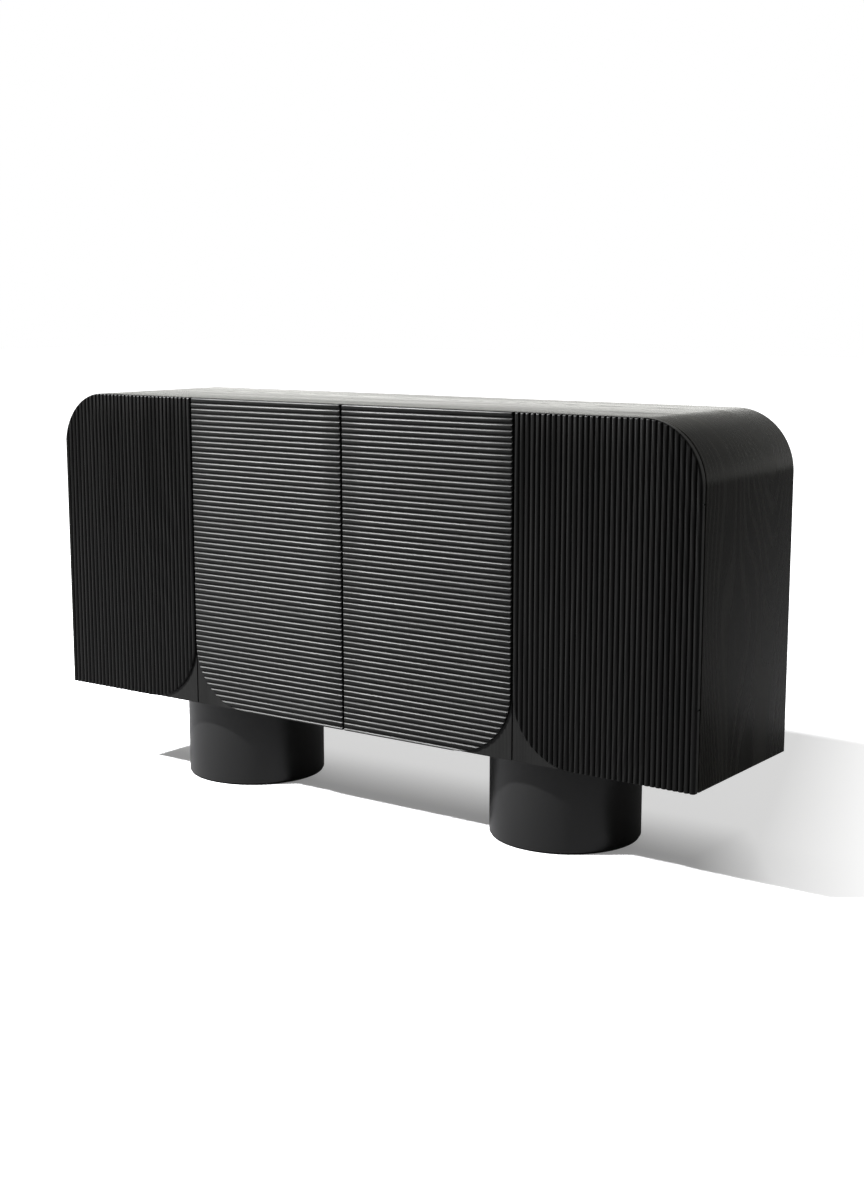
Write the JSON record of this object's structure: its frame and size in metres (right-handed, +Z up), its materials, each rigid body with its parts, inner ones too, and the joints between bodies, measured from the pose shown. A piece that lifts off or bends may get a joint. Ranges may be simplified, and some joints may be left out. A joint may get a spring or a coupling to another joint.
{
  "type": "sideboard buffet",
  "caption": "Long low sideboard on round drum bases: rounded upper corners, reeded doors with quarter-circle sweeps, shelves inside.",
  "frame": {"origin": "middle of the bounding box in plan, on the floor", "axes": "+X to the right along the front, +Y from the doors to the back, +Z up"},
  "size_m": [1.7, 0.4, 0.905],
  "materials": {
    "oak_stained": "black-stained open-grain oak veneer, satin lacquer",
    "oak_reeded": "black-stained oak, reeded, satin lacquer",
    "oak_inside": "black-stained oak veneer, matt",
    "drum_lacquer": "charcoal satin lacquer",
    "birch": "plain birch plywood",
    "steel": "bright zinc plated",
    "dark_steel": "black zinc plated",
    "latch_plastic": "matt",
    "felt": "dense black felt"
  },
  "bodies": {
    "cabinet": {"top_panel": "oak_stained", "left_corner": "oak_stained", "right_corner": "oak_stained", "left_side": "oak_stained", "right_side": "oak_stained", "bottom_panel": "oak_stained", "left_partition": "oak_inside", "right_partition": "oak_inside", "back_panel": "oak_inside", "left_shelf": "oak_inside", "centre_shelf": "oak_inside", "right_shelf": "oak_inside", "shelf_pegs": "steel", "dowels": "birch", "back_screws": "dark_steel", "left_drum": "drum_lacquer", "right_drum": "drum_lacquer", "drum_lids": "birch", "drum_discs": "birch", "glide_rings": "felt", "drum_bolts": "steel", "hinge_eyes": "steel", "latch_bodies": "latch_plastic", "latch_screws": "steel"},
    "left_outer_door": {"left_outer_core": "oak_stained", "left_outer_reeding": "oak_reeded", "left_outer_forks": "dark_steel", "left_outer_pins": "steel", "left_outer_screws": "steel", "left_outer_strike": "steel"},
    "left_outer_latch": {"left_outer_plunger": "latch_plastic"},
    "left_inner_door": {"left_inner_core": "oak_stained", "left_inner_reeding": "oak_reeded", "left_inner_forks": "dark_steel", "left_inner_pins": "steel", "left_inner_screws": "steel", "left_inner_strike": "steel"},
    "left_inner_latch": {"left_inner_plunger": "latch_plastic"},
    "right_inner_door": {"right_inner_core": "oak_stained", "right_inner_reeding": "oak_reeded", "right_inner_forks": "dark_steel", "right_inner_pins": "steel", "right_inner_screws": "steel", "right_inner_strike": "steel"},
    "right_inner_latch": {"right_inner_plunger": "latch_plastic"},
    "right_outer_door": {"right_outer_core": "oak_stained", "right_outer_reeding": "oak_reeded", "right_outer_forks": "dark_steel", "right_outer_pins": "steel", "right_outer_screws": "steel", "right_outer_strike": "steel"},
    "right_outer_latch": {"right_outer_plunger": "latch_plastic"}
  },
  "joints": [
    {"name": "left_outer_hinge", "type": "hinge", "parent": "cabinet", "child": "left_outer_door", "pos_m": [-0.844, -0.1915, 0.55], "axis": [0, 0, -1], "range_deg": [0, 95]},
    {"name": "left_outer_push", "type": "slide", "parent": "cabinet", "child": "left_outer_latch", "axis": [0, -1, 0], "range_m": [0, 0.02]},
    {"name": "left_inner_hinge", "type": "hinge", "parent": "cabinet", "child": "left_inner_door", "pos_m": [-0.42775, -0.1915, 0.55], "axis": [0, 0, -1], "range_deg": [0, 95]},
    {"name": "left_inner_push", "type": "slide", "parent": "cabinet", "child": "left_inner_latch", "axis": [0, -1, 0], "range_m": [0, 0.02]},
    {"name": "right_inner_hinge", "type": "hinge", "parent": "cabinet", "child": "right_inner_door", "pos_m": [0.42775, -0.1915, 0.55], "axis": [0, 0, 1], "range_deg": [0, 95]},
    {"name": "right_inner_push", "type": "slide", "parent": "cabinet", "child": "right_inner_latch", "axis": [0, -1, 0], "range_m": [0, 0.02]},
    {"name": "right_outer_hinge", "type": "hinge", "parent": "cabinet", "child": "right_outer_door", "pos_m": [0.844, -0.1915, 0.55], "axis": [0, 0, 1], "range_deg": [0, 95]},
    {"name": "right_outer_push", "type": "slide", "parent": "cabinet", "child": "right_outer_latch", "axis": [0, -1, 0], "range_m": [0, 0.02]}
  ],
  "couplings": [
    {"joint": "left_outer_push", "follows": "left_outer_hinge", "m_per_rad": 0.012},
    {"joint": "left_inner_push", "follows": "left_inner_hinge", "m_per_rad": 0.012},
    {"joint": "right_inner_push", "follows": "right_inner_hinge", "m_per_rad": 0.012},
    {"joint": "right_outer_push", "follows": "right_outer_hinge", "m_per_rad": 0.012}
  ]
}
